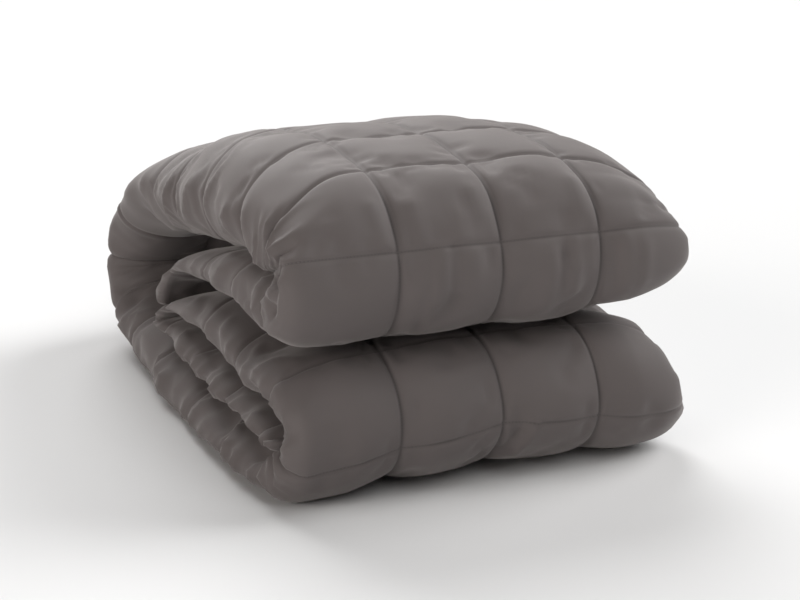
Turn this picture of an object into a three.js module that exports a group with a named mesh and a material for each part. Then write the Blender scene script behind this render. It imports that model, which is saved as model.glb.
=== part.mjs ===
// A weighted blanket, quilted into square pockets and folded.
// It is folded lengthwise into a strip four pockets wide, and the strip is folded back and forth:
// an upper roll and a lower roll at the front, joined by one open bend at the back.
// The whole stack is one solid, a section of the layer carried along its folded path.
// Millimetres. X runs along the front rolls, Y from front to back, Z up. The blanket rests on Z = 0.

import * as THREE from "three";

// Quilting
const POCKET = 100; // side of one filled pocket
const POCKETS_ACROSS = 4;
const STEPS_PER_POCKET = 4; // mesh steps along a pocket's side
const ROWS_ROLL_TO_ROLL = 14; // pocket rows from the front of the upper roll to the front of the lower one
const UPPER_ROW_HEIGHT = 230; // height of the row seam on the front of the upper roll
const LOWER_ROW_HEIGHT = 66; // height of the row seam on the front of the lower roll
const PUFF_POWER = 0.6; // under 1 a pocket has a flat top and falls steeply to its seams
const UNEVENNESS = 0.22; // share by which one pocket's crown differs from another's
const ROW_STRIDE = 12.9898; // odd numbers that mix a pocket's row and column into its unevenness
const COLUMN_STRIDE = 78.233;
const MIX_SPREAD = 43758.5453;

// Sides of the strip, where it is folded lengthwise
const STRIP_WIDTH = POCKET * POCKETS_ACROSS;
const LEFT_EDGE = -203; // the strip's sides at a row seam, from its middle seam
const RIGHT_EDGE = 193;
const SIDE_SWELL = 5; // how far a side stands out between two row seams
const SIDE_LEVELS = [0.7, 0.2, -0.3, -0.8]; // points round a side, as shares of the faces' outermost levels
const SIDE_COLUMN = 0.1; // where across the outermost pocket the side takes its fullness

// Bends of the layer's middle line, each a half turn of an ellipse.
// facing is -1 for a bend at the front and 1 for one at the back, and lean sets its top further back.
// halfIn and halfOut are half the layer's thickness where it enters and leaves the bend,
// and pinch is how much thinner than those it is in the middle of the turn.
const UPPER_ROLL = {
  facing: -1, depth: 70, height: 213, reach: 42, rise: 38, lean: 9, halfIn: 34, halfOut: 35, pinch: 6,
};
const BACK_BEND = {
  facing: 1, depth: 450, height: 124, reach: 152, rise: 91, lean: -45, halfIn: 44, halfOut: 28, pinch: 0,
};
const LOWER_ROLL = {
  facing: -1, depth: 68, height: 68, reach: 53, rise: 40, lean: 0, halfIn: 20, halfOut: 24, pinch: 0,
};
const TONGUE_BEND = {
  facing: 1, depth: 398, height: 91, reach: 14, rise: 9, lean: 0, halfIn: 6, halfOut: 7, pinch: 0,
};
const BEND_STEPS = 8; // steps of the middle line in a half turn

// Straight stretches of the middle line: depth from the front, height, and half the layer's thickness
const INNER_TOP_RUN = [
  { depth: 404, height: 112, half: 5 },
  { depth: 396, height: 129, half: 6 },
  { depth: 372, height: 142, half: 8 },
  { depth: 326, height: 155, half: 11 },
  { depth: 260, height: 167, half: 18 },
  { depth: 180, height: 177, half: 28 },
  { depth: 115, height: 177, half: 31 },
];
const OUTER_TOP_RUN = [
  { depth: 170, height: 256, half: 42 },
  { depth: 270, height: 246, half: 49 },
  { depth: 350, height: 232, half: 48 },
];
const FLOOR_RUN = [
  { depth: 430, height: 35, half: 28 },
  { depth: 350, height: 30, half: 22 },
  { depth: 250, height: 27, half: 19 },
  { depth: 150, height: 27, half: 19 },
];
const UPPER_TONGUE = [
  { depth: 112, height: 103, half: 21 },
  { depth: 165, height: 109, half: 24 },
  { depth: 240, height: 115, half: 24 },
  { depth: 310, height: 109, half: 16 },
  { depth: 360, height: 102, half: 7 },
];
const LOWER_TONGUE = [
  { depth: 350, height: 74, half: 13 },
  { depth: 250, height: 67, half: 15 },
  { depth: 150, height: 64, half: 13 },
  { depth: 74, height: 64, half: 10 },
];

// How the cloth is finished along each stretch: one number, or its value at the start, middle and end.
// outerCrown and innerCrown are how far a pocket stands over its seams on each face, which is hardly at
// all where the face is pressed between two layers.
// outerPower and innerPower shape the side on each face: 2 rounds it off and more keeps its edge tight.
const STRETCHES = [
  { path: INNER_TOP_RUN, outerCrown: 2, innerCrown: 1, outerPower: 4, innerPower: 6 },
  { path: bend(UPPER_ROLL), outerCrown: [4, 13, 12], innerCrown: 0, outerPower: [3, 5, 2.2], innerPower: 6 },
  { path: OUTER_TOP_RUN, outerCrown: 12, innerCrown: 1, outerPower: 2.1, innerPower: 6 },
  { path: bend(BACK_BEND), outerCrown: 13, innerCrown: 6, outerPower: 2.4, innerPower: 5 },
  { path: FLOOR_RUN, outerCrown: 15, innerCrown: 1, outerPower: 3.5, innerPower: 6 },
  { path: bend(LOWER_ROLL), outerCrown: [12, 13, 4], innerCrown: 0, outerPower: [5, 6, 3], innerPower: 6 },
  { path: UPPER_TONGUE, outerCrown: 1, innerCrown: 1, outerPower: 4, innerPower: 6 },
  { path: bend(TONGUE_BEND), outerCrown: 1, innerCrown: 0, outerPower: 4, innerPower: 4 },
  { path: LOWER_TONGUE, outerCrown: 1, innerCrown: 1, outerPower: 4, innerPower: 4 },
];

const PATH_SAMPLES = 4000; // fine steps used to measure along the folded path

// The half turn of a bend, entered low at the front and high at the back.
function bend({ facing, depth, height, reach, rise, lean, halfIn, halfOut, pinch }) {
  return Array.from({ length: BEND_STEPS + 1 }, (_, step) => {
    const share = step / BEND_STEPS;
    const angle = facing * (Math.PI / 2 - Math.PI * share);
    return {
      depth: depth + facing * reach * Math.cos(angle) + lean * Math.sin(angle),
      height: height + rise * Math.sin(angle),
      half: THREE.MathUtils.lerp(halfIn, halfOut, share) - pinch * Math.cos(angle),
    };
  });
}

// A finish at a share of its stretch.
function finishAt(finish, share) {
  if (!Array.isArray(finish)) {
    return finish;
  }
  const [start, middle, end] = finish;
  return share < 0.5
    ? THREE.MathUtils.lerp(start, middle, 2 * share)
    : THREE.MathUtils.lerp(middle, end, 2 * share - 1);
}

// The middle line as a smooth curve, with thickness in its x, depth in its y and height in its z.
const FINISHES = ["outerCrown", "innerCrown", "outerPower", "innerPower"];
const waypoints = STRETCHES.flatMap(({ path, ...stretch }) =>
  path.map((point, index) => {
    const waypoint = { ...point };
    FINISHES.forEach((name) => {
      waypoint[name] = finishAt(stretch[name], index / (path.length - 1));
    });
    return waypoint;
  }),
);
const middleLine = new THREE.CatmullRomCurve3(
  waypoints.map(({ half, depth, height }) => new THREE.Vector3(half, depth, height)),
  false,
  "centripetal",
);

// The layer's place, direction, thickness and finish at a share of the middle line.
function layerAt(share) {
  const place = middleLine.getPoint(share);
  const tangent = middleLine.getTangent(share);
  const along = new THREE.Vector2(tangent.y, tangent.z).normalize();
  const at = share * (waypoints.length - 1);
  const from = waypoints[Math.floor(at)];
  const to = waypoints[Math.min(Math.floor(at) + 1, waypoints.length - 1)];
  const layer = {
    half: place.x,
    depth: place.y,
    height: place.z,
    outward: new THREE.Vector2(-along.y, along.x),
  };
  FINISHES.forEach((name) => {
    layer[name] = THREE.MathUtils.lerp(from[name], to[name], at - Math.floor(at));
  });
  return layer;
}

// Distance along the outer face, where the rows of pockets are measured.
function measureOuterFace() {
  const samples = [];
  let distance = 0;
  for (let step = 0; step <= PATH_SAMPLES; step += 1) {
    const layer = layerAt(step / PATH_SAMPLES);
    const depth = layer.depth + layer.half * layer.outward.x;
    const height = layer.height + layer.half * layer.outward.y;
    const last = samples.at(-1);
    if (last) {
      distance += Math.hypot(depth - last.depth, height - last.height);
    }
    samples.push({ share: step / PATH_SAMPLES, distance, depth, height });
  }
  return samples;
}

// The rows are counted from the front of the upper roll, and a whole number of them
// reaches the row on the front of the lower roll.
const outerFace = measureOuterFace();
function frontAt(wanted) {
  const front = outerFace.filter(({ depth }) => depth < LOWER_ROLL.reach / 2);
  const miss = ({ height }) => Math.abs(height - wanted);
  return front.reduce((best, sample) => (miss(sample) < miss(best) ? sample : best));
}
const upperFront = frontAt(UPPER_ROW_HEIGHT);
const lowerFront = frontAt(LOWER_ROW_HEIGHT);
const rowPitch = (lowerFront.distance - upperFront.distance) / ROWS_ROLL_TO_ROLL;

function shareAtRow(row) {
  const wanted = upperFront.distance + row * rowPitch;
  const next = outerFace.findIndex(({ distance }) => distance >= wanted);
  return outerFace[next].share;
}

// How full a pocket is at a place between two seams, which are whole numbers.
function fullness(place) {
  return Math.abs(Math.sin(Math.PI * place)) ** PUFF_POWER;
}

// An even mix of light and heavy pockets that is the same each time.
function pocketCrown(row, column) {
  const seed = (Math.floor(row) + 1) * ROW_STRIDE + (Math.floor(column) + 1) * COLUMN_STRIDE;
  const mixed = Math.sin(seed) * MIX_SPREAD;
  return 1 + UNEVENNESS * (2 * (mixed - Math.floor(mixed)) - 1);
}

// Fullness across the strip. No seam ends the outermost pockets: their cloth runs on round the side.
function fullnessAcross(column) {
  const fromSide = Math.min(column, POCKETS_ACROSS - column);
  return fromSide < 1 / 2 ? 1 : fullness(column);
}

// The rest of a layer at a share of its full reach, on a rounded outline of the given power.
function rounded(share, power) {
  return (1 - Math.abs(share) ** power) ** (1 / power);
}

// Where a section's face points are, counted in pockets from the left side seam.
const FACE_COLUMNS = Array.from(
  { length: POCKETS_ACROSS * STEPS_PER_POCKET - 1 },
  (_, step) => (step + 1) / STEPS_PER_POCKET,
);

// One section of the layer: outer face from left to right, right side, inner face, left side.
// Nothing goes below the surface that the blanket lies on.
function sectionAt(row) {
  const layer = layerAt(shareAtRow(row));
  const rowFullness = fullness(row);
  const points = [];
  const reachTo = (across) =>
    across < 0 ? LEFT_EDGE - SIDE_SWELL * rowFullness : RIGHT_EDGE + SIDE_SWELL * rowFullness;
  const crownAt = (column, crown) => crown * pocketCrown(row, column) * fullnessAcross(column) * rowFullness;
  const put = (across, out) => {
    const depth = layer.depth + out * layer.outward.x;
    const height = layer.height + out * layer.outward.y;
    points.push(new THREE.Vector3(across, depth, Math.max(height, 0)));
  };
  const putFace = (column, facing, crown, power) => {
    const across = column * POCKET - STRIP_WIDTH / 2;
    const edge = rounded(across / reachTo(across), power);
    put(across, facing * (layer.half + crownAt(column, crown)) * edge);
  };
  const putSide = (level, side) => {
    const [crown, power] =
      level > 0 ? [layer.outerCrown, layer.outerPower] : [layer.innerCrown, layer.innerPower];
    const column = side > 0 ? POCKETS_ACROSS - SIDE_COLUMN : SIDE_COLUMN;
    const outermost = side * (STRIP_WIDTH / 2 - POCKET / STEPS_PER_POCKET);
    const share = level * rounded(outermost / reachTo(side), power);
    put(reachTo(side) * rounded(share, power), share * (layer.half + crownAt(column, crown)));
  };
  FACE_COLUMNS.forEach((column) => putFace(column, 1, layer.outerCrown, layer.outerPower));
  SIDE_LEVELS.forEach((level) => putSide(level, 1));
  FACE_COLUMNS.toReversed().forEach((column) => putFace(column, -1, layer.innerCrown, layer.innerPower));
  SIDE_LEVELS.toReversed().forEach((level) => putSide(level, -1));
  return points;
}

// A closed skin over a row of sections, with a fan over each end.
function skin(sections) {
  const ring = sections[0].length;
  const centre = (section) =>
    section.reduce((sum, point) => sum.add(point), new THREE.Vector3()).divideScalar(ring);
  const vertices = [...sections.flat(), centre(sections[0]), centre(sections.at(-1))];
  const faces = [];
  for (let s = 0; s < sections.length - 1; s += 1) {
    for (let p = 0; p < ring; p += 1) {
      const q = (p + 1) % ring;
      const here = s * ring;
      const next = here + ring;
      faces.push(here + p, here + q, next + q, here + p, next + q, next + p);
    }
  }
  const firstCentre = vertices.length - 2;
  const lastCentre = vertices.length - 1;
  const lastRing = (sections.length - 1) * ring;
  for (let p = 0; p < ring; p += 1) {
    const q = (p + 1) % ring;
    faces.push(firstCentre, q, p, lastCentre, lastRing + p, lastRing + q);
  }
  const geometry = new THREE.BufferGeometry().setFromPoints(vertices);
  geometry.setIndex(faces);
  return geometry;
}

// The whole blanket, with the bottom centre of its box at the origin.
function makeBlanket() {
  const stepAt = (distance) => ((distance - upperFront.distance) / rowPitch) * STEPS_PER_POCKET;
  const firstStep = Math.ceil(stepAt(0));
  const lastStep = Math.floor(stepAt(outerFace.at(-1).distance));
  const sections = [];
  for (let step = firstStep; step <= lastStep; step += 1) {
    sections.push(sectionAt(step / STEPS_PER_POCKET));
  }
  const geometry = skin(sections);
  geometry.computeBoundingBox();
  const middle = geometry.boundingBox.getCenter(new THREE.Vector3());
  geometry.translate(-middle.x, -middle.y, 0);
  geometry.computeVertexNormals();
  const cloth = new THREE.MeshStandardMaterial({ color: 0x6f6966, roughness: 0.78, metalness: 0 });
  const mesh = new THREE.Mesh(geometry, cloth);
  mesh.name = "blanket";
  return mesh;
}

const group = new THREE.Group();
group.add(makeBlanket());

export default group;
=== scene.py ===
"""The looks of a folded, quilted weighted blanket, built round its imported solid.

The blanket is folded lengthwise into a strip four pockets wide, and the strip is folded back
and forth. Its closed skin is made here on nearly the same folded path as the solid, only finer.
Its pockets are puffed and settled by a short cloth simulation, and then the stitched seams, the
pleats round its sides and the folds are added. Lengths are in metres, unless they say otherwise.
"""

import math

import bpy
import numpy as np
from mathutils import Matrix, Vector
from mathutils.bvhtree import BVHTree


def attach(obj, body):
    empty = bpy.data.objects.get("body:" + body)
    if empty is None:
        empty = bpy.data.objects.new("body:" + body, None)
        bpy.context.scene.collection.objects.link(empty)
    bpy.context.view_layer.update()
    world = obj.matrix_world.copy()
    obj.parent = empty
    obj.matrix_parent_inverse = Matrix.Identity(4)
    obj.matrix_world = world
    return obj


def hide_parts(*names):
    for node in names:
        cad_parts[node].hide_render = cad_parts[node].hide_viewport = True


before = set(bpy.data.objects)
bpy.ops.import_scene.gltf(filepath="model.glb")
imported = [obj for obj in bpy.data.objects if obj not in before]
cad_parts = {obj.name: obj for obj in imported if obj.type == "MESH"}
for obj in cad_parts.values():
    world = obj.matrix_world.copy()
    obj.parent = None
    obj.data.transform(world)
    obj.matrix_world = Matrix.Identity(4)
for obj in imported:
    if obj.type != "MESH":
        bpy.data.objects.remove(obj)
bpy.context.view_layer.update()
MM = 0.001

# ---------------------------------------------------------------- quilting and folded path

POCKET = 100 * MM
POCKETS_ACROSS = 4
ROWS_ROLL_TO_ROLL = 14
UPPER_ROW_HEIGHT = 230 * MM
LOWER_ROW_HEIGHT = 66 * MM

STRIP_HALF = POCKET * POCKETS_ACROSS / 2

# Bends of the layer's middle line, each a half turn of an ellipse, in millimetres.
BEND_COLUMNS = ("facing", "depth", "height", "reach", "rise", "lean", "half_in", "half_out", "pinch")
UPPER_ROLL = (-1, 70, 213, 42, 38, 9, 34, 35, 6)
BACK_BEND = (1, 450, 124, 152, 91, -45, 44, 28, 0)
LOWER_ROLL = (-1, 68, 68, 53, 40, 0, 20, 24, 0)
TONGUE_BEND = (1, 386, 86, 12, 12, -18, 6, 7, 0)
BEND_STEPS = 8

# Straight stretches of the middle line: depth, height and half the thickness, in millimetres.
INNER_TOP_RUN = (
    (398, 97, 4), (390, 114, 5), (374, 131, 6), (350, 144, 8),
    (318, 155, 11), (260, 167, 18), (180, 177, 28), (115, 177, 31),
)
OUTER_TOP_RUN = ((170, 256, 42), (270, 246, 49), (350, 232, 48))
FLOOR_RUN = ((430, 35, 28), (350, 30, 22), (250, 27, 19), (150, 27, 19))
UPPER_TONGUE = ((112, 103, 21), (165, 109, 24), (240, 115, 24), (310, 109, 16), (360, 102, 7))
LOWER_TONGUE = ((350, 74, 13), (250, 67, 15), (150, 64, 13), (74, 64, 11), (20, 60, 9))


def bend(row):
    """Waypoints of a half turn, entered low at the front and high at the back."""
    shape = dict(zip(BEND_COLUMNS, row))
    points = []
    for step in range(BEND_STEPS + 1):
        share = step / BEND_STEPS
        angle = shape["facing"] * math.pi * (0.5 - share)
        half = shape["half_in"] + (shape["half_out"] - shape["half_in"]) * share
        reach = shape["facing"] * shape["reach"] * math.cos(angle)
        points.append((
            shape["depth"] + reach + shape["lean"] * math.sin(angle),
            shape["height"] + shape["rise"] * math.sin(angle),
            half - shape["pinch"] * math.cos(angle),
        ))
    return points


STRETCHES = (
    INNER_TOP_RUN, bend(UPPER_ROLL), OUTER_TOP_RUN, bend(BACK_BEND), FLOOR_RUN,
    bend(LOWER_ROLL), UPPER_TONGUE, bend(TONGUE_BEND), LOWER_TONGUE,
)

# The tables below say how the cloth is finished at a few rows of seams, in millimetres, and it
# changes evenly between them. A side reaches so far from the strip's middle seam. The outer face
# rounds off towards it over the rounding, and the power tells how full that is: 1 is a straight
# slope and 2 an oval. The sag moves a side towards the outer face.
SIDE_COLUMNS = ("row", "reach", "rounding", "power", "sag")
LEFT_SIDE = (
    (-4.8, 205, 60, 2.2, 0),
    (-1.2, 205, 60, 2.2, 0),
    (-0.7, 206, 22, 2.2, 0),
    (0.0, 205, 16, 2.2, 0),
    (0.2, 196, 20, 2.2, -3),
    (0.5, 199, 40, 2.2, -8),
    (1.0, 203, 110, 2.2, -14),
    (3.5, 203, 110, 2.1, -14),
    (4.5, 203, 120, 2.0, -6),
    (5.5, 202, 135, 1.9, 0),
    (7.0, 205, 120, 2.2, 0),
    (8.5, 210, 90, 2.2, 4),
    (9.2, 212, 70, 2.2, 6),
    (10.0, 220, 60, 2.2, 8),
    (12.0, 220, 50, 2.2, 8),
    (12.6, 216, 50, 2.2, 6),
    (13.2, 211, 40, 2.2, 4),
    (13.6, 203, 18, 2.2, 0),
    (14.0, 200, 13, 2.2, 0),
    (14.6, 200, 15, 2.2, 0),
    (15.2, 206, 100, 2.2, 0),
    (17.0, 206, 80, 2.2, 0),
    (20.0, 210, 60, 2.2, 0),
    (22.5, 213, 50, 2.2, 0),
)
RIGHT_SIDE = (
    (-4.6, 193, 60, 2.2, 0),
    (-1.5, 190, 90, 2.0, 0),
    (-1.05, 186, 110, 1.4, 0),
    (-0.8, 194, 120, 1.45, 0),
    (-0.6, 206, 100, 2.0, 0),
    (-0.4, 205, 70, 2.4, 0),
    (0.0, 201, 90, 1.9, 0),
    (0.3, 191, 105, 1.45, 0),
    (0.7, 187, 110, 1.35, 0),
    (1.0, 187, 110, 1.45, 0),
    (1.5, 188, 115, 1.8, 0),
    (2.5, 186, 125, 1.9, 0),
    (4.0, 188, 110, 2.0, 0),
    (7.0, 190, 120, 2.2, 0),
    (10.0, 192, 80, 2.2, 0),
    (12.8, 198, 50, 2.2, 0),
    (13.4, 212, 40, 2.2, 0),
    (14.0, 204, 40, 2.2, 0),
    (14.4, 190, 60, 2.0, 0),
    (14.8, 182, 85, 1.8, 0),
    (15.4, 186, 90, 2.0, 0),
    (22.0, 190, 60, 2.2, 0),
)
# outer and inner are how far a pocket stands over its column seams on each face, and dip is the
# share of that which is lost at a row seam. lift moves the whole outer face out. swell is how
# far a side stands out between two row seams.
FACE_COLUMNS = ("row", "outer", "inner", "dip", "lift", "inner_round", "swell")
FACES = (
    (-4.6, 2, 1, 0.9, 0, 40, 2),
    (-2.5, 3, 1, 0.9, 0, 40, 3),
    (-1.2, 5, 0, 0.8, 0, 40, 3),
    (-0.7, 8, 0, 0.45, 0, 40, 2),
    (0.0, 8, 0, 0.3, 0, 40, 2),
    (1.0, 5, 0, 0.5, 1, 40, 3),
    (2.0, 3, 1, 0.6, 0, 50, 3),
    (3.5, 3, 1, 0.6, 0, 50, 3),
    (5.0, 6, 4, 0.6, 3, 50, 3),
    (5.6, 6, 6, 0.6, 1, 60, 3),
    (7.0, 10, 6, 0.7, 0, 60, 3),
    (9.0, 10, 4, 0.7, 0, 60, 3),
    (11.0, 9, 1, 0.8, 0, 40, 3),
    (12.8, 8, 0, 0.7, 0, 40, 3),
    (13.4, 8, 0, 0.45, 0, 40, 2),
    (14.0, 9, 0, 0.3, 0, 40, 2),
    (14.6, 8, 0, 0.45, 0, 40, 2),
    (15.2, 4, 0, 0.7, 0, 40, 3),
    (17.0, 1.5, 1, 0.9, 0, 40, 3),
    (22.0, 1, 1, 0.9, 0, 60, 3),
)

# How far a row of seams has slipped along the path, in rows, at these distances from the middle
# seam of the outer face, measured round the left side. The right side slips less.
SLANT_PLACES = (0, 100, 155, 205, 225, 245, 270, 330)
SLANTS = {
    -4: (0, 0, 0, 0, 0, 0, 0, 0),
    -3: (0, 0, 0, 0.1, 0.3, 0.5, 0.4, 0),
    -2: (0, 0, 0, -0.1, 0.1, 0.16, 0.16, 0),
    -1: (0, 0, 0, -0.1, -0.1, 0, 0, 0),
    0: (0, 0, 0, 0, 0, 0, 0, 0),
    1: (-0.08, -0.08, -0.22, -0.48, -0.7, -0.8, -0.8, 0),
    2: (-0.12, -0.14, -0.34, -0.56, -0.68, -0.85, -0.9, 0),
    3: (-0.05, -0.03, -0.2, -0.42, -0.5, -0.6, -0.6, 0),
    4: (0, 0, -0.16, -0.42, -0.48, -0.52, -0.52, 0),
    5: (0, 0, -0.3, -0.65, -0.8, -0.9, -0.9, 0),
    6: (0, 0, 0, 0, -0.06, -0.12, -0.14, 0),
    8: (0, 0, 0, 0, 0, 0, 0, 0),
    9: (0, 0, 0, -0.1, -0.14, -0.14, -0.1, 0),
    10: (0, 0, 0, 0, 0, 0, 0, 0),
    11: (0, 0, 0, 0.1, 0.25, 0.3, 0.2, 0),
    12: (0, 0, 0, 0.1, 0.25, 0.3, 0.2, 0),
    13: (0, 0, 0, 0.1, 0.15, 0.2, 0.2, 0),
    14: (-0.02, -0.12, -0.2, -0.28, -0.28, -0.2, 0, 0),
    15: (-0.1, -0.15, -0.22, -0.3, -0.3, -0.2, 0, 0),
    16: (0, 0, -0.1, -0.26, -0.36, -0.36, -0.2, 0),
    17: (0, 0, -0.1, -0.42, -0.35, -0.3, -0.2, 0),
    18: (0, 0, 0, 0, 0, 0, 0, 0),
}
RIGHT_SLANT = 0.7

PATH_SAMPLES = 4000


def smooth_curve(points, at):
    """A centripetal Catmull-Rom curve through the points, at places counted in points."""
    last = len(points) - 1
    index = np.clip(np.floor(at).astype(int), 0, last - 1)
    weight = (at - index)[:, None]
    ends = np.vstack([2 * points[0] - points[1], points, 2 * points[-1] - points[-2]])
    before, here, there, after = (ends[index + k] for k in range(4))

    def spacing(a, b):
        return np.sqrt(np.linalg.norm(b - a, axis=1))[:, None]

    d0, d1, d2 = spacing(before, here), spacing(here, there), spacing(there, after)
    leave = ((here - before) / d0 - (there - before) / (d0 + d1) + (there - here) / d1) * d1
    arrive = ((there - here) / d1 - (after - here) / (d1 + d2) + (after - there) / d2) * d1
    rise = there - here
    cubic = leave + arrive - 2 * rise
    square = 3 * rise - 2 * leave - arrive
    return here + weight * (leave + weight * (square + weight * cubic))


class Path:
    """The folded middle line, measured along its outer face in rows of pockets."""

    def __init__(self):
        points = np.array([point for stretch in STRETCHES for point in stretch]) * MM
        self.middle = smooth_curve(points, np.linspace(0, len(points) - 1, PATH_SAMPLES + 1))
        along = np.gradient(self.middle[:, :2], axis=0)
        along /= np.linalg.norm(along, axis=1)[:, None]
        self.outward = np.column_stack([-along[:, 1], along[:, 0]])
        outer = self.middle[:, :2] + self.middle[:, 2:] * self.outward
        distance = np.concatenate([[0], np.cumsum(np.linalg.norm(np.diff(outer, axis=0), axis=1))])
        front = outer[:, 0] < LOWER_ROLL[BEND_COLUMNS.index("reach")] * MM / 2

        def front_at(height):
            return distance[np.argmin(np.where(front, np.abs(outer[:, 1] - height), np.inf))]

        upper = front_at(UPPER_ROW_HEIGHT)
        self.pitch = (front_at(LOWER_ROW_HEIGHT) - upper) / ROWS_ROLL_TO_ROLL
        self.row = (distance - upper) / self.pitch

    def place(self, rows):
        """Depth, height, half thickness and outward direction of the layer at each row."""
        pick = lambda values: np.interp(rows, self.row, values)
        outward = np.stack([pick(self.outward[:, 0]), pick(self.outward[:, 1])], axis=-1)
        outward /= np.linalg.norm(outward, axis=-1)[..., None]
        middle = np.stack([pick(self.middle[:, 0]), pick(self.middle[:, 1])], axis=-1)
        return middle, pick(self.middle[:, 2]), outward


# ---------------------------------------------------------------- the skin's grid

STACK_MIDDLE = (-5 * MM, 320.6 * MM)  # the box's middle, from the strip's middle seam and the path's front
STEPS_PER_ROW = 26
SEAM_GRADING = 0.35  # how much closer the mesh lines are at a seam than on average
OUTER_STEPS = 20  # mesh steps across a pocket between two column seams
INNER_STEPS = 6
OUTER_SIDE_STEPS = 26  # from a column seam round to the side's tip
INNER_SIDE_STEPS = 18
SIDE_DETAIL = 200  # fine steps used to measure round a side
SIDE_GRADING = 0.25
END_ROUND = 6 * MM  # length over which an end of the strip is rounded off
END_STEPS = 4
THINNEST = 0.3 * MM
SIDE_POWER = 2.2  # of the inner face's rounding
SLANT_SMOOTHING = 6


def graded(places):
    """Places counted in pockets, drawn closer together at the seams, which are whole numbers."""
    return places - SEAM_GRADING * np.sin(2 * np.pi * places) / (2 * np.pi)


def row_places(path):
    """The rows at which the skin has a section, with extra ones where its ends are rounded."""
    first, last = path.row[0], path.row[-1]
    steps = np.arange(math.ceil(first * STEPS_PER_ROW), math.floor(last * STEPS_PER_ROW) + 1)
    rows = graded(steps / STEPS_PER_ROW)
    lead = END_ROUND / path.pitch * (1 - np.cos(np.linspace(0, math.pi / 2, END_STEPS + 1)))
    start, end = first + lead, (last - lead)[::-1]
    gap = END_ROUND / path.pitch / END_STEPS
    return np.concatenate([start, rows[(rows > start[-1] + gap) & (rows < end[0] - gap)], end])


def by_row(columns, table, rows):
    """Every column of a table but the first, at each of the rows."""
    numbers = np.array(table, dtype=float).T
    return {name: np.interp(rows, numbers[0], values) for name, values in zip(columns[1:], numbers[1:])}


def outline(across, reach, half, rounding, power):
    """How far a face stands from the layer's middle: flat, then an oval end of that rounding."""
    share = np.clip((across - reach + rounding) / rounding, 0, 1)
    return half * (1 - share**power) ** (1 / power)


def side_arc(reach, half, rounding, power, steps):
    """Across, out and distance from the seam, from the outermost column seam to the side's tip."""
    reach, half, rounding, power = (values[:, None] for values in (reach, half, rounding, power))
    start_share = np.clip((POCKET - reach + rounding) / rounding, 0, 1)
    angle = np.arccos(start_share ** (power / 2)) * np.linspace(1, 0, SIDE_DETAIL + 1)[None, :]
    across = reach - rounding * (1 - np.cos(angle) ** (2 / power))
    out = half * np.abs(np.sin(angle)) ** (2 / power)
    across = np.concatenate([np.full(half.shape, POCKET), across], axis=1)
    out = np.concatenate([outline(POCKET, reach, half, rounding, power), out], axis=1)
    strides = np.hypot(np.diff(across, axis=1), np.diff(out, axis=1))
    length = np.concatenate([np.zeros(half.shape), np.cumsum(strides, axis=1)], axis=1)
    share = np.linspace(0, 1, steps + 1)
    share = share - SIDE_GRADING * np.sin(np.pi * share) / np.pi
    at = share[None, :] * length[:, -1:]
    pick = lambda values: np.array([np.interp(a, d, v) for a, d, v in zip(at, length, values)])
    return pick(across), pick(out), at


def face_run(reach, half, rounding, power, steps):
    """Across, out and distance from the nearest seam, from the middle seam to the outermost one."""
    across = np.tile(graded(np.linspace(0, 1, steps + 1)) * POCKET, (len(half), 1))
    out = outline(across, reach[:, None], half[:, None], rounding[:, None], power[:, None])
    return across, out, np.minimum(across, POCKET - across)


def slants(rows, measure):
    """How far each point has slipped along the path, in rows."""
    places = np.array(SLANT_PLACES) * MM
    numbers = np.array([np.interp(np.abs(measure).ravel(), places, line) for line in SLANTS.values()])
    known = np.array(list(SLANTS))
    after = np.clip(np.searchsorted(known, rows), 1, len(known) - 1)
    weight = np.clip((rows - known[after - 1]) / (known[after] - known[after - 1]), 0, 1)[:, None]
    numbers = numbers.reshape(len(known), *measure.shape)
    section = np.arange(len(rows))
    slip = numbers[after - 1, section] * (1 - weight) + numbers[after, section] * weight
    slip = slip * np.where(measure > 0, RIGHT_SLANT, 1)
    for _ in range(SLANT_SMOOTHING):
        slip[:, 1:-1] = (slip[:, :-2] + 2 * slip[:, 1:-1] + slip[:, 2:]) / 4
    return slip


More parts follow.
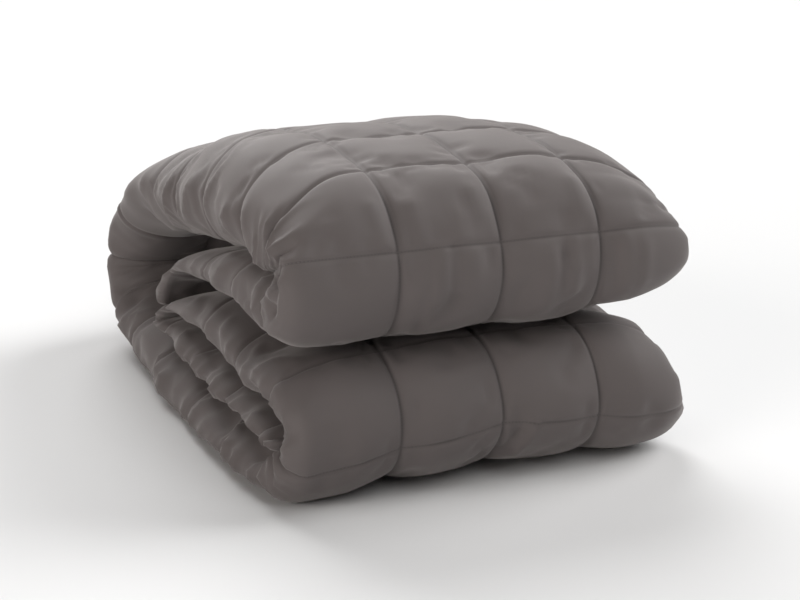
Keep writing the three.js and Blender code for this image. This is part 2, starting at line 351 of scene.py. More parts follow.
class Grid:
    """Every point of the skin: a line for each section, round from the middle of the inner face.

    The last point of a line is its first one again, where the cloth's measure starts anew."""

    def __init__(self, path):
        self.rows = row_places(path)
        self.pitch = path.pitch
        self.finish = by_row(FACE_COLUMNS, FACES, self.rows)
        _, half, _ = path.place(self.rows)
        self.from_end = np.minimum(self.rows - self.rows[0], self.rows[-1] - self.rows) * path.pitch
        rounding = np.sqrt(1 - (1 - np.clip(self.from_end / END_ROUND, 0, 1)) ** 2)
        half = np.maximum(half * rounding, THINNEST)
        inner_power = np.full(half.shape, SIDE_POWER)
        pieces = []
        self.reach = {}
        for side, table in ((-1, LEFT_SIDE), (1, RIGHT_SIDE)):
            finish = by_row(SIDE_COLUMNS, table, self.rows)
            reach = finish["reach"] * MM - END_ROUND * (1 - rounding)
            self.reach[side] = reach
            quarter = []
            for face, length, power, lift, face_steps, arc_steps in (
                (-1, self.finish["inner_round"], inner_power, 0, INNER_STEPS, INNER_SIDE_STEPS),
                (1, finish["rounding"], finish["power"], self.finish["lift"], OUTER_STEPS, OUTER_SIDE_STEPS),
            ):
                thick = half + lift * MM * rounding
                run = face_run(reach, thick, length * MM, power, face_steps)
                arc = side_arc(reach, thick, length * MM, power, arc_steps)
                line = [np.concatenate([r, a[:, 1:]], axis=1) for r, a in zip(run, arc)]
                line.append(np.full(line[0].shape, face))
                quarter.append(line)
            inner, outer = quarter
            turn = [np.concatenate([i, o[:, -2::-1]], axis=1) for i, o in zip(inner, outer)]
            turn[1] = turn[1] * turn[3]
            hang = np.clip((turn[0] - POCKET) / (reach[:, None] - POCKET), 0, 1) ** 2
            turn[1] = turn[1] + finish["sag"][:, None] * MM * hang
            turn[0] = turn[0] * side
            pieces.append(turn)
        left, right = pieces
        self.across, out, self.seam, self.face = [
            np.concatenate([a, b[:, -2::-1]], axis=1) for a, b in zip(left, right)
        ]
        self.count = self.across.shape[1] - 1
        self.outer_middle = INNER_STEPS + INNER_SIDE_STEPS + OUTER_SIDE_STEPS + OUTER_STEPS
        strides = np.linalg.norm(np.diff(np.stack([self.across, out], axis=2), axis=1), axis=2)
        measure = np.concatenate([np.zeros((len(half), 1)), np.cumsum(strides, axis=1)], axis=1)
        self.measure = measure - measure[:, self.outer_middle : self.outer_middle + 1]
        at = self.rows[:, None] + slants(self.rows, self.measure)
        middle, _, outward = path.place(at)
        place = middle + out[:, :, None] * outward
        self.points = np.stack([
            self.across - STACK_MIDDLE[0],
            place[:, :, 0] - STACK_MIDDLE[1],
            place[:, :, 1],
        ], axis=2)
        self.outward = outward

    def normals(self):
        """Outward unit normals of the plain skin."""
        along = np.gradient(self.points, axis=0)
        ring = self.points[:, :-1]
        round_ring = np.roll(ring, -1, axis=1) - np.roll(ring, 1, axis=1)
        round_ring = np.concatenate([round_ring, round_ring[:, :1]], axis=1)
        normal = np.cross(along, round_ring)
        normal /= np.maximum(np.linalg.norm(normal, axis=2), 1e-12)[:, :, None]
        section = len(self.rows) // 2
        outward = self.outward[section, self.outer_middle]
        facing = normal[section, self.outer_middle] @ np.array([0, outward[0], outward[1]])
        return normal * np.sign(facing)


# ---------------------------------------------------------------- pockets, seams and folds

UNEVENNESS = 0.22
ROW_STRIDE = 12.9898
COLUMN_STRIDE = 78.233
MIX_SPREAD = 43758.5453
PUFF_POWER = 0.8
PUFF_REACH = 50 * MM  # distance from a seam at which a pocket is full
STITCH_DEPTH = 1.4 * MM
STITCH_WIDTH = 1.3 * MM
SIDE_DIP = 0.4  # share of a side's swell that is lost at a row seam
EDGE_TAPER = 0.65  # share of an outermost pocket's crown that is lost at its side
TAPER_START = 140 * MM  # from the middle seam
PINCH_DEPTH = 1.5 * MM  # extra valley where a row seam wraps round a side
PINCH_WIDTH = 7 * MM
# Soft rises and dents: row, place from the middle seam, half length, half width and height, in mm.
MOUNDS = (
    (3.35, -55, 60, 40, -3.5),
    (13.3, -195, 50, 40, 5),
    (13.3, 20, 40, 50, -4),
    (13.45, -130, 40, 25, -3.5),
    (13.05, -216, 30, 16, -5),
    (13.4, -48, 40, 35, -5),
    (-0.12, -223, 15, 12, -15),
    (-0.55, -222, 12, 8, -9),
    (-1.45, -212, 6, 5, -4),
    (20.35, -229, 16, 9, -6),
    (21.1, -226, 16, 9, -5),
    (21.5, -224, 14, 9, -6),
    (12.8, -243, 22, 14, -7),
    (11.75, -250, 18, 14, -6),
    (9.75, -246, 22, 12, -5),
    (7.85, -243, 16, 12, -5),
    (8.3, -248, 16, 12, -6),
)
# Creases have a sharp edge, and those of negative height are valleys: height and width in mm,
# then their course as pairs of a row and a place from the middle seam of the outer face, in mm.
# Negative places are to the left of that seam and on round the left side.
CREASES = (
    # the top layer's side
    (3.4, 4, (4.14, -207), (4.26, -228), (4.7, -240), (5.08, -258)),
    (3.4, 4, (3.35, -214), (3.45, -242), (3.65, -259), (4.3, -280)),
    (3.4, 4, (2.55, -220), (2.38, -236), (2.5, -251), (2.74, -278)),
    (2.8, 4, (2.21, -221), (2.3, -241), (2.25, -258)),
    (3.0, 5, (1.79, -214), (1.74, -230), (1.55, -240), (1.26, -245)),
    (2.3, 4, (1.5, -216), (1.38, -236)),
    (4.0, 4, (1.15, -204), (1.03, -213), (0.7, -210), (0.3, -206)),
    (2.9, 3, (0.97, -194), (0.86, -206), (0.4, -205)),
    (-3.4, 4, (1.06, -198), (0.93, -208), (0.6, -208)),
    # the layer inside the upper roll
    (3.4, 4, (-1.55, -210), (-1.55, -229), (-1.65, -238)),
    (4.0, 4, (-1.14, -225), (-1.21, -239), (-1.5, -252)),
    (5.2, 4, (-1.14, -220), (-0.86, -232), (-0.3, -226), (-0.14, -209)),
    (2.9, 4, (-1.05, -211), (-0.86, -212), (-0.6, -215)),
    # the front edges of the two rolls' left corners
    (4.0, 5, (0.85, -205), (0.4, -205), (0.0, -205), (-0.5, -206), (-0.85, -208)),
    (-3.5, 6, (0.1, -216), (-0.3, -219), (-0.7, -219)),
    (4.0, 4, (14.92, -201), (14.79, -203), (14.5, -208), (14.14, -208), (13.86, -205), (13.65, -203)),
    # a tuck under the lower roll
    (5.0, 4, (13.99, 31), (13.86, 25), (13.74, 19), (13.6, 17)),
    (-5.0, 6, (13.9, 18), (13.79, 12), (13.65, 7)),
    # the hem's ruffles
    (3.0, 4, (-4.45, -211), (-4.2, -216), (-4.0, -218)),
    (-3.0, 4, (-4.45, -217), (-4.15, -222)),
    (3.0, 4, (-4.45, -223), (-4.1, -229)),
    (2.5, 4, (-4.45, -200), (-4.15, -203)),
    # the lower roll's left corner
    (3.5, 4, (14.89, -213), (14.95, -206), (15.0, -200)),
    (2.0, 3, (14.79, -212), (14.86, -203), (14.95, -199)),
    (-3.0, 3, (14.83, -212), (14.92, -203)),
    (2.5, 5, (14.62, -203), (14.56, -208)),
    (2.5, 5, (14.3, -204), (14.24, -210)),
    (-3.5, 6, (14.43, -204), (14.4, -212)),
    # the tongue's lower layer
    (4.9, 4, (19.7, -211), (19.6, -219), (19.5, -228)),
    (4.2, 4, (20.15, -210), (20.03, -216), (20.05, -224)),
    (3.5, 4, (20.74, -210), (20.74, -219), (20.7, -228)),
    (3.5, 4, (21.74, -224), (21.9, -213)),
    # the layer on the floor
    (4.9, 4, (10.14, -230), (9.97, -247)),
    (4.2, 4, (10.26, -235), (10.45, -246), (10.7, -262)),
    (3.5, 4, (10.62, -232), (10.45, -247)),
    (4.2, 4, (11.14, -241), (11.26, -254)),
    (5.6, 4, (12.21, -230), (12.11, -244), (12.0, -258)),
    (3.5, 4, (12.45, -222), (12.35, -235)),
    (4.9, 4, (13.11, -219), (13.6, -226), (14.0, -216)),
    (3.5, 4, (13.6, -206), (13.9, -212)),
    (2.8, 3, (13.5, -206), (13.75, -208)),
    # the back bend, seen through its hollow
    (4.2, 5, (7.5, -230), (7.65, -252), (7.4, -275)),
    (4.2, 5, (8.14, -230), (7.95, -248)),
    (4.9, 5, (8.45, -220), (8.86, -250)),
)
# Soft folds, in the same way, are round across.
SOFT_FOLDS = (
    (2.5, 8, (-2.45, -211), (-2.35, -225), (-2.5, -242)),
    (2.5, 7, (-1.82, -212), (-1.86, -222), (-1.82, -236), (-1.79, -246)),
    (2.2, 7, (17.35, -208), (17.4, -200), (17.45, -188)),
    (2.2, 7, (16.45, -215), (16.5, -207), (16.55, -194)),
    (2.2, 7, (15.7, -210), (15.74, -203), (15.79, -190)),
    (3.0, 7, (15.45, -213), (15.4, -206), (15.35, -192), (15.14, -177)),
    # the front of the upper roll
    (3.1, 6, (-0.03, -60), (-0.4, -66), (-0.75, -70)),
    (1.7, 6, (-0.1, -82), (-0.4, -84)),
    (-2.4, 6, (-0.08, -49), (-0.45, -53)),
    (1.7, 7, (-0.1, -28), (-0.35, -30)),
    (2.7, 6, (-0.15, 48), (-0.6, 42)),
    (-2.2, 5, (-0.15, 57), (-0.4, 56)),
    (3.1, 6, (-0.05, 70), (-0.5, 71)),
    (1.7, 6, (-0.05, 88), (-0.4, 86)),
    (2.2, 7, (-0.1, 124), (-0.5, 126)),
    (-1.7, 7, (-0.1, 112), (-0.45, 114)),
    (1.7, 7, (-0.15, 143), (-0.45, 142)),
    (2.0, 7, (0.1, -80), (0.4, -78)),
    (2.0, 7, (0.05, -38), (0.45, -40)),
    (2.5, 9, (0.1, -14), (0.5, -18)),
    (2.4, 8, (0.1, -112), (0.45, -116)),
    (2.4, 8, (0.1, 86), (0.5, 84)),
)
CREASE_EDGE = 1.2 * MM
# The sides are wrinkled all over: sharp ridges run round them, with soft hollows between.
WRINKLE_HEIGHT = 4.4 * MM
WRINKLE_LEVEL = 0.45  # share of the height that lies under the plain surface
WRINKLE_SIZE = 62 * MM
WRINKLE_STRETCH = 0.45  # below 1 the wrinkles are longer round the side than along it
WRINKLE_SEED = 11
WRINKLE_REACH = POCKET / 8  # distance from a row seam at which a wrinkle has its full height
LUMP_HEIGHT = 0.9 * MM
LUMP_SIZE = 70 * MM
LUMP_WAVES = 14
LUMP_SPREAD = (0.7, 1.6)  # the shortest and the longest wave, against the size asked for
LUMP_SEED = 7


def pocket_mix(row, column):
    """An even mix of light and heavy pockets, from -1 to 1."""
    seed = (np.floor(row) + 1) * ROW_STRIDE + (np.floor(column) + 1) * COLUMN_STRIDE
    mixed = np.sin(seed) * MIX_SPREAD
    return 2 * (mixed - np.floor(mixed)) - 1


def lumps(along, across, size, seed):
    """A soft uneven surface with hollows and rises about that size, mostly within -1 to 1."""
    chance = np.random.default_rng(seed)
    total = np.zeros(np.broadcast_shapes(along.shape, across.shape))
    for _ in range(LUMP_WAVES):
        heading = chance.uniform(0, 2 * math.pi)
        length = size * chance.uniform(*LUMP_SPREAD)
        phase = chance.uniform(0, 2 * math.pi)
        distance = along * math.cos(heading) + across * math.sin(heading)
        total += np.sin(2 * np.pi * distance / length + phase)
    return total / math.sqrt(LUMP_WAVES)


def bump(distance, width):
    return np.exp(-((distance / width) ** 2))


def mounds(grid):
    """The soft rises and dents that the photo shows in single places."""
    total = np.zeros(grid.measure.shape)
    for row, place, length, width, height in MOUNDS:
        along = (grid.rows[:, None] - row) * grid.pitch / (length * MM)
        round_ring = (grid.measure - place * MM) / (width * MM)
        total += height * MM * np.exp(-(along**2) - round_ring**2)
    return total


def distance_to(grid, course):
    """How far each point of the skin is from a line drawn on the cloth."""
    along, place = grid.rows[:, None] * grid.pitch, grid.measure
    stops = [(row * grid.pitch, stop * MM) for row, stop in course]
    nearest = np.full(place.shape, np.inf)
    for (a0, p0), (a1, p1) in zip(stops[:-1], stops[1:]):
        span = (a1 - a0) ** 2 + (p1 - p0) ** 2
        share = np.clip(((along - a0) * (a1 - a0) + (place - p0) * (p1 - p0)) / span, 0, 1)
        gap = np.hypot(along - a0 - share * (a1 - a0), place - p0 - share * (p1 - p0))
        nearest = np.minimum(nearest, gap)
    return nearest


def folds(grid):
    """The single creases and soft folds that the photo shows."""
    total = np.zeros(grid.measure.shape)
    for height, width, *course in CREASES:
        gap = np.hypot(distance_to(grid, course), CREASE_EDGE) - CREASE_EDGE
        total += height * MM * np.exp(-gap / (width * MM))
    for height, width, *course in SOFT_FOLDS:
        total += height * MM * bump(distance_to(grid, course), width * MM)
    return total


def pillows(grid, side):
    """How far the filled pockets stand out from the plain outline."""
    rows = grid.rows[:, None]
    finish = {name: values[:, None] for name, values in grid.finish.items()}
    crown = np.where(grid.face > 0, finish["outer"], finish["inner"])
    reach = np.where(grid.across < 0, grid.reach[-1][:, None], grid.reach[1][:, None])
    taper = np.clip((np.abs(grid.across) - TAPER_START) / (reach - TAPER_START), 0, 1)
    crown = (crown * (1 - EDGE_TAPER * taper) * (1 - side) + finish["swell"] * side) * MM
    row_full = np.abs(np.sin(np.pi * rows)) ** PUFF_POWER
    column_full = np.sin(np.pi / 2 * np.clip(grid.seam / PUFF_REACH, 0, 1)) ** PUFF_POWER
    dip = finish["dip"] * (1 - side) + SIDE_DIP * side
    column = (grid.across + STRIP_HALF) / POCKET
    uneven = 1 + UNEVENNESS * pocket_mix(rows, column) * row_full * column_full
    puff = crown * column_full * (1 - dip * (1 - row_full)) * uneven
    lump = LUMP_HEIGHT * lumps(rows * grid.pitch, grid.measure, LUMP_SIZE, LUMP_SEED)
    lump = lump * np.where(grid.face > 0, 1, side) * np.clip(grid.from_end / POCKET, 0, 1)[:, None]
    return puff + lump


def details(grid, side):
    """How far the seams, mounds and folds stand out from the filled pockets."""
    row_seam = np.abs(grid.rows - np.round(grid.rows))[:, None] * grid.pitch
    stitch = STITCH_DEPTH * np.maximum(bump(row_seam, STITCH_WIDTH), bump(grid.seam, STITCH_WIDTH))
    pinch = PINCH_DEPTH * bump(row_seam, PINCH_WIDTH) * side
    along = grid.rows[:, None] * grid.pitch
    wrinkle = lumps(along, grid.measure * WRINKLE_STRETCH, WRINKLE_SIZE, WRINKLE_SEED)
    wrinkle = WRINKLE_HEIGHT * (np.clip(1 - np.abs(wrinkle), 0, 1) - WRINKLE_LEVEL) * side
    wrinkle = wrinkle * np.clip(row_seam / WRINKLE_REACH, 0, 1)
    return mounds(grid) + folds(grid) + wrinkle - stitch - pinch


# ---------------------------------------------------------------- the mesh


def closed_skin(lines):
    """Vertices and faces of a closed skin through rings of points, with a fan over each end."""
    sections, ring = lines.shape[:2]
    vertices = np.vstack([lines.reshape(-1, 3), lines[0].mean(axis=0), lines[-1].mean(axis=0)])
    s, t = np.meshgrid(np.arange(sections - 1), np.arange(ring), indexing="ij")
    following = (t + 1) % ring
    quads = np.stack([
        s * ring + t, s * ring + following, (s + 1) * ring + following, (s + 1) * ring + t,
    ], axis=2).reshape(-1, 4)
    t = np.arange(ring)
    following = (t + 1) % ring
    start, end, last = len(vertices) - 2, len(vertices) - 1, (sections - 1) * ring
    fan_start = np.stack([np.full(ring, start), following, t], axis=1)
    fan_end = np.stack([np.full(ring, end), last + t, last + following], axis=1)
    return vertices, quads.tolist() + fan_start.tolist() + fan_end.tolist()


def new_object(name, vertices, faces):
    mesh = bpy.data.meshes.new(name)
    mesh.from_pydata(vertices.tolist(), [], faces)
    piece = bpy.data.objects.new(name, mesh)
    bpy.context.scene.collection.objects.link(piece)
    return piece


def make_mesh(name, grid, points):
    """The finished cloth, with its own measure as its UVs and its distance from the seams."""
    ring = grid.count
    vertices, faces = closed_skin(points[:, :-1])
    piece = new_object(name, vertices, faces)
    mesh = piece.data
    s, t = np.meshgrid(np.arange(len(grid.rows) - 1), np.arange(ring), indexing="ij")
    along = np.broadcast_to(grid.rows[:, None] * grid.pitch, grid.measure.shape)
    place = np.stack([grid.measure, along], axis=2)
    corners = [place[s, t], place[s, t + 1], place[s + 1, t + 1], place[s + 1, t]]
    quad_uv = np.stack(corners, axis=2).reshape(-1, 2)
    uv = mesh.uv_layers.new(name="cloth")
    uv.data.foreach_set("uv", np.vstack([quad_uv, np.zeros((ring * 6, 2))]).astype(np.float32).ravel())
    rows = np.repeat(np.abs(grid.rows - np.round(grid.rows))[:, None] * grid.pitch, ring, axis=1).ravel()
    for label, values in (("row_seam", rows), ("column_seam", grid.seam[:, :-1].ravel())):
        attribute = mesh.attributes.new(label, "FLOAT", "POINT")
        attribute.data.foreach_set("value", np.concatenate([values, [POCKET, POCKET]]).astype(np.float32))
    mesh.validate()
    mesh.update()
    mesh.shade_smooth()
    return piece


# ---------------------------------------------------------------- cloth simulation

CLOTH_FRAMES = 20
CLOTH_QUALITY = 4
CLOTH_MASS = 0.3
CLOTH_PRESSURE = 4.0
CLOTH_STIFFNESS = 15
CLOTH_SHEAR = 5
CLOTH_BENDING = 0.05
CLOTH_DAMPING = 5
CLOTH_PIN = 10
FACE_GROWTH = -0.011  # negative shrinking: the cloth is a little larger than its pocket
SIDE_GROWTH = -0.11
LARGEST_MOVE = 10 * MM
ROOM_SHARE = 0.4  # share of the gap to the next layer that the cloth may cross
ROOM_LIMIT = 50 * MM  # how far a layer in front is looked for
ROOM_START = 0.8 * MM  # clear of the vertex's own faces
TIGHT = 4 * MM  # a vertex with less room than this is held
SEAM_REACH = 1.2 * MM  # so is one as near to a seam as this
GROWTH_LEVELS = 10
TINY = 1e-9


def room_round(piece):
    """How far each vertex may go outwards before it meets another layer."""
    mesh = piece.data
    tree = BVHTree.FromPolygons([v.co for v in mesh.vertices], [tuple(p.vertices) for p in mesh.polygons])
    room = np.full(len(mesh.vertices), ROOM_LIMIT)
    for index, vertex in enumerate(mesh.vertices):
        distance = tree.ray_cast(vertex.co + vertex.normal * ROOM_START, vertex.normal, ROOM_LIMIT)[3]
        if distance is not None:
            room[index] = distance
    return room


def blown_up(piece, held, looseness):
    """Runs the cloth simulation on a piece and returns its vertices' places."""
    pin = piece.vertex_groups.new(name="pin")
    pin.add(np.flatnonzero(held).tolist(), 1.0, "REPLACE")
    loose = piece.vertex_groups.new(name="loose")
    levels = np.round(looseness * GROWTH_LEVELS)
    for level in range(1, GROWTH_LEVELS + 1):
        loose.add(np.flatnonzero(levels == level).tolist(), level / GROWTH_LEVELS, "REPLACE")
    cloth = piece.modifiers.new("cloth", "CLOTH")
    settings = cloth.settings
    settings.quality = CLOTH_QUALITY
    settings.mass = CLOTH_MASS
    settings.tension_stiffness = CLOTH_STIFFNESS
    settings.compression_stiffness = CLOTH_STIFFNESS
    settings.shear_stiffness = CLOTH_SHEAR
    settings.bending_stiffness = CLOTH_BENDING
    settings.tension_damping = CLOTH_DAMPING
    settings.compression_damping = CLOTH_DAMPING
    settings.shear_damping = CLOTH_DAMPING
    settings.air_damping = CLOTH_DAMPING
    settings.vertex_group_mass = "pin"
    settings.pin_stiffness = CLOTH_PIN
    settings.use_pressure = True
    settings.uniform_pressure_force = CLOTH_PRESSURE
    settings.vertex_group_shrink = "loose"
    settings.shrink_min = FACE_GROWTH
    settings.shrink_max = SIDE_GROWTH
    settings.effector_weights.gravity = 0
    cloth.collision_settings.use_collision = False
    cloth.collision_settings.use_self_collision = False
    cloth.point_cache.frame_start = 1
    cloth.point_cache.frame_end = CLOTH_FRAMES
    for moment in range(1, CLOTH_FRAMES + 1):
        bpy.context.scene.frame_set(moment)
        settled = piece.evaluated_get(bpy.context.evaluated_depsgraph_get()).data
    places = np.empty(len(settled.vertices) * 3, np.float32)
    settled.vertices.foreach_get("co", places)
    bpy.context.scene.frame_set(1)
    return places.reshape(-1, 3)


def doubled(values, mode):
    """The values with smooth ones put in halfway between them, along the first axis."""
    padded = np.pad(values, [(1, 2)] + [(0, 0)] * (values.ndim - 1), mode=mode)
    before, here, there, after = (padded[k : k + len(values)] for k in range(4))
    halfway = (9 * (here + there) - before - after) / 16
    return np.stack([values, halfway], axis=1).reshape(-1, *values.shape[1:])


def settling(grid, points, side):
    """How the filled cloth settles: each point's movement in a simulation of every second line."""
    first = int(np.flatnonzero(np.abs(grid.rows - np.round(grid.rows)) < 1e-6)[0]) % 2
    chosen = slice(first, None, 2), slice(0, -1, 2)
    lines = points[chosen]
    vertices, faces = closed_skin(lines)
    piece = new_object("cloth being settled", vertices, faces)
    room = room_round(piece)
    row_seam = np.abs(grid.rows - np.round(grid.rows))[:, None] * grid.pitch
    seam = np.minimum(row_seam, grid.seam)[chosen].ravel()
    held = np.append(seam < SEAM_REACH, [True, True]) | (room < TIGHT)
    move = blown_up(piece, held, np.append(side[chosen].ravel(), [0, 0])) - vertices
    mesh = piece.data
    bpy.data.objects.remove(piece)
    bpy.data.meshes.remove(mesh)
    size = np.linalg.norm(move, axis=1)[:, None]
    most = np.minimum(LARGEST_MOVE, ROOM_SHARE * room)[:, None]
    move = move * most * np.tanh(size / np.maximum(most, TINY)) / np.maximum(size, TINY)
    move = doubled(move[:-2].reshape(lines.shape), "edge")
    move = doubled(move.swapaxes(0, 1), "wrap").swapaxes(0, 1)
    full = np.zeros(points.shape)
    full[first:, :-1] = move[: len(points) - first]
    full[:, -1] = full[:, 0]
    return full


# ---------------------------------------------------------------- materials


def node(tree, kind, inputs=None, **settings):
    made = tree.nodes.new(kind)
    for key, value in settings.items():
        setattr(made, key, value)
    for key, value in (inputs or {}).items():
        if isinstance(value, bpy.types.NodeSocket):
            tree.links.new(value, made.inputs[key])
        else:
            made.inputs[key].default_value = value
    return made


def math_node(tree, operation, *values, clamp=False):
    made = node(tree, "ShaderNodeMath", operation=operation, use_clamp=clamp)
    for index, value in enumerate(values):
        if isinstance(value, bpy.types.NodeSocket):
            tree.links.new(value, made.inputs[index])
        else:
            made.inputs[index].default_value = value
    return made.outputs[0]


CLOTH_LIGHT = (0.122, 0.105, 0.102, 1)
CLOTH_DARK = (0.106, 0.091, 0.088, 1)
CLOTH_SPECULAR = 0.35
SHEEN = 0.32
SHEEN_ROUGHNESS = 0.38
SHEEN_TINT = (0.9, 0.86, 0.84, 1)
SMOOTHEST = 0.66  # the cloth's roughness goes with its mottle
ROUGHEST = 0.78
MOTTLE_SCALE = 22.0  # noise scales count lumps in a metre of cloth
MOTTLE_DETAIL = 5.0
MOTTLE_ROUGHNESS = 0.55
NAP_SCALE = 900.0
NAP_DETAIL = 2.0
NAP_HEIGHT = 0.4 * MM
NAP_STRENGTH = 0.25
WEAVE_HEIGHT = 0.05 * MM
WEAVE_STRENGTH = 0.2
SEAM_SHADE = 0.6  # painted shade: share of the cloth's colour that is left at a seam, standing in for the shade in its stitched groove
# how far from a seam the painted shade reaches
SEAM_SHADE_REACH = 1.2 * MM
THREAD = (0.15, 0.132, 0.128, 1)
THREAD_STRENGTH = 0.5
THREAD_WIDTH = 0.8 * MM
THREAD_HEIGHT = 0.2 * MM
THREAD_BUMP = 0.5
THREAD_GAP = -0.6  # the lower, the longer the stitches are against the gaps
STITCH_LENGTH = 3.2 * MM
WEAVE_PITCH = 0.7 * MM


def wave(tree, along, pitch):
    """A ripple of that pitch along a measure of the cloth."""
    return math_node(tree, "SINE", math_node(tree, "MULTIPLY", along, 2 * math.pi / pitch))


def stitches(tree, seam, along):
    """1 on the thread of a seam and 0 elsewhere."""
    near = math_node(tree, "LESS_THAN", seam, THREAD_WIDTH / 2)
    stitch = math_node(tree, "GREATER_THAN", wave(tree, along, STITCH_LENGTH), THREAD_GAP)
    return math_node(tree, "MULTIPLY", near, stitch)


def microfibre():
    """Brushed microfibre: a fine weave, a soft mottle, stitches, and painted shade that darkens the cloth
    along its seams.
    """
    material = bpy.data.materials.new("microfibre")
    material.use_nodes = True
    tree = material.node_tree
    shader = tree.nodes["Principled BSDF"]
    shader.inputs["Specular IOR Level"].default_value = CLOTH_SPECULAR
    shader.inputs["Sheen Weight"].default_value = SHEEN
    shader.inputs["Sheen Roughness"].default_value = SHEEN_ROUGHNESS
    shader.inputs["Sheen Tint"].default_value = SHEEN_TINT
    uv = node(tree, "ShaderNodeUVMap", uv_map="cloth").outputs["UV"]
    mottle = node(tree, "ShaderNodeTexNoise", {
        "Vector": uv, "Scale": MOTTLE_SCALE, "Detail": MOTTLE_DETAIL, "Roughness": MOTTLE_ROUGHNESS,
    })
    tone = node(tree, "ShaderNodeMix", {"Factor": mottle.outputs["Fac"]}, data_type="RGBA")
    tone.inputs["A"].default_value = CLOTH_DARK
    tone.inputs["B"].default_value = CLOTH_LIGHT
    # Painted shade: the cloth's colour is darkened towards every row and column seam, standing in for the
    # shade in the stitched grooves.
    row = node(tree, "ShaderNodeAttribute", attribute_name="row_seam").outputs["Fac"]
    column = node(tree, "ShaderNodeAttribute", attribute_name="column_seam").outputs["Fac"]
    nearest = math_node(tree, "MINIMUM", row, column)
    line = node(tree, "ShaderNodeMapRange", {
        "Value": nearest, "From Min": 0.0, "From Max": SEAM_SHADE_REACH, "To Min": SEAM_SHADE, "To Max": 1.0,
    }, interpolation_type="SMOOTHSTEP")
    shaded = node(tree, "ShaderNodeMix", {"Factor": 1.0}, data_type="RGBA", blend_type="MULTIPLY")
    tree.links.new(tone.outputs["Result"], shaded.inputs["A"])
    tree.links.new(line.outputs["Result"], shaded.inputs["B"])
    apart = node(tree, "ShaderNodeSeparateXYZ", {"Vector": uv})
    across, along = apart.outputs["X"], apart.outputs["Y"]
    thread = math_node(tree, "MAXIMUM", stitches(tree, row, across), stitches(tree, column, along))
    sewn = node(tree, "ShaderNodeMix", data_type="RGBA")
    tree.links.new(math_node(tree, "MULTIPLY", thread, THREAD_STRENGTH), sewn.inputs["Factor"])
    tree.links.new(shaded.outputs["Result"], sewn.inputs["A"])
    sewn.inputs["B"].default_value = THREAD
    tree.links.new(sewn.outputs["Result"], shader.inputs["Base Color"])
    rough = node(tree, "ShaderNodeMapRange", {
        "Value": mottle.outputs["Fac"], "To Min": SMOOTHEST, "To Max": ROUGHEST,
    })
    tree.links.new(rough.outputs["Result"], shader.inputs["Roughness"])
    fine = node(tree, "ShaderNodeTexNoise", {"Vector": uv, "Scale": NAP_SCALE, "Detail": NAP_DETAIL})
    nap = node(tree, "ShaderNodeBump", {
        "Height": fine.outputs["Fac"], "Strength": NAP_STRENGTH, "Distance": NAP_HEIGHT,
    })
    weave = math_node(tree, "MULTIPLY", wave(tree, across, WEAVE_PITCH), wave(tree, along, WEAVE_PITCH))
    woven = node(tree, "ShaderNodeBump", {
        "Height": weave, "Strength": WEAVE_STRENGTH, "Distance": WEAVE_HEIGHT,
        "Normal": nap.outputs["Normal"],
    })
    grain = node(tree, "ShaderNodeBump", {
        "Height": thread, "Strength": THREAD_BUMP, "Distance": THREAD_HEIGHT,
        "Normal": woven.outputs["Normal"],
    })
    tree.links.new(grain.outputs["Normal"], shader.inputs["Normal"])
    return material


FLOOR_COLOUR = (0.8, 0.8, 0.8, 1)
FLOOR_ROUGHNESS = 0.9
FLOOR_SPECULAR = 0.1


def pale_floor():
    material = bpy.data.materials.new("pale floor")
    material.use_nodes = True
    shader = material.node_tree.nodes["Principled BSDF"]
    shader.inputs["Base Color"].default_value = FLOOR_COLOUR
    shader.inputs["Roughness"].default_value = FLOOR_ROUGHNESS
    shader.inputs["Specular IOR Level"].default_value = FLOOR_SPECULAR
    return material


# ---------------------------------------------------------------- floor, light and camera

FLOOR_SIZE = 60.0
CAMERA_PLACE = (-0.638, -1.5586, 0.557)
CAMERA_PITCH = 15.25  # degrees down
CAMERA_TURN = 23.7  # degrees from +Y towards +X
CAMERA_LENS = 73.0  # millimetres, on Blender's 36 mm sensor
# The softboxes: name, strength, where the light comes from, and its colour.
SOFTBOXES = (
    ("right softbox", 2.25, (1.0, 0.0, 0.75), (1.0, 1.0, 1.0)),
    ("left softbox", 1.65, (-1.0, -0.3, 0.25), (1.0, 0.95, 0.91)),
    ("back softbox", 2.5, (0.1, 0.9, 0.75), (1.0, 1.0, 1.0)),
    ("front softbox", 0.75, (0.1, -1.0, 1.2), (1.0, 1.0, 1.0)),
)
SOFTBOX_ANGLE = 42.0  # degrees
WORLD_COLOUR = (1, 0.985, 0.97, 1)
WORLD_STRENGTH = 0.02


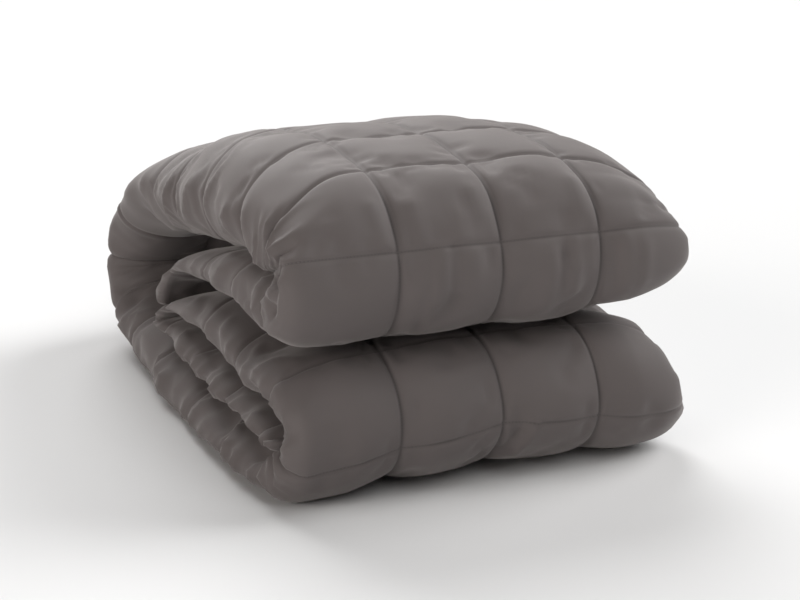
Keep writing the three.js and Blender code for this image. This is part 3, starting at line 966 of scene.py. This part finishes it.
def make_floor():
    mesh = bpy.data.meshes.new("floor")
    edge = FLOOR_SIZE / 2
    corners = [(-edge, -edge, 0), (edge, -edge, 0), (edge, edge, 0), (-edge, edge, 0)]
    mesh.from_pydata(corners, [], [(0, 1, 2, 3)])
    floor = bpy.data.objects.new("floor", mesh)
    bpy.context.scene.collection.objects.link(floor)
    mesh.materials.append(pale_floor())
    return floor


def make_softboxes():
    for name, strength, source, colour in SOFTBOXES:
        light = bpy.data.lights.new(name, "SUN")
        light.energy = strength
        light.color = colour
        light.angle = math.radians(SOFTBOX_ANGLE)
        lamp = bpy.data.objects.new(name, light)
        lamp.rotation_mode = "QUATERNION"
        lamp.rotation_quaternion = Vector(source).to_track_quat("Z", "Y")
        bpy.context.scene.collection.objects.link(lamp)


def make_world():
    world = bpy.data.worlds.new("studio")
    world.use_nodes = True
    background = world.node_tree.nodes["Background"]
    background.inputs["Color"].default_value = WORLD_COLOUR
    background.inputs["Strength"].default_value = WORLD_STRENGTH
    bpy.context.scene.world = world


def make_camera():
    pitch, turn = math.radians(CAMERA_PITCH), math.radians(CAMERA_TURN)
    ahead = Vector((math.sin(turn) * math.cos(pitch), math.cos(turn) * math.cos(pitch), -math.sin(pitch)))
    data = bpy.data.cameras.new("camera")
    data.lens = CAMERA_LENS
    camera = bpy.data.objects.new("camera", data)
    camera.location = CAMERA_PLACE
    camera.rotation_mode = "QUATERNION"
    camera.rotation_quaternion = ahead.to_track_quat("-Z", "Y")
    bpy.context.scene.collection.objects.link(camera)
    bpy.context.scene.camera = camera


# ---------------------------------------------------------------- the scene


def make_blanket():
    grid = Grid(Path())
    normal = grid.normals()
    side = normal[:, :, 0] ** 2
    points = grid.points + normal * pillows(grid, side)[:, :, None]
    points = points + settling(grid, points, side)
    points = points + normal * details(grid, side)[:, :, None]
    points[:, :, 2] = np.maximum(points[:, :, 2], 0)
    blanket = make_mesh("blanket_cloth", grid, points)
    blanket.data.materials.append(microfibre())
    return blanket


blanket = make_blanket()
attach(blanket, "root")
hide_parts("blanket")

make_camera()
make_world()
make_softboxes()
make_floor()
bpy.context.scene.view_settings.view_transform = "Standard"
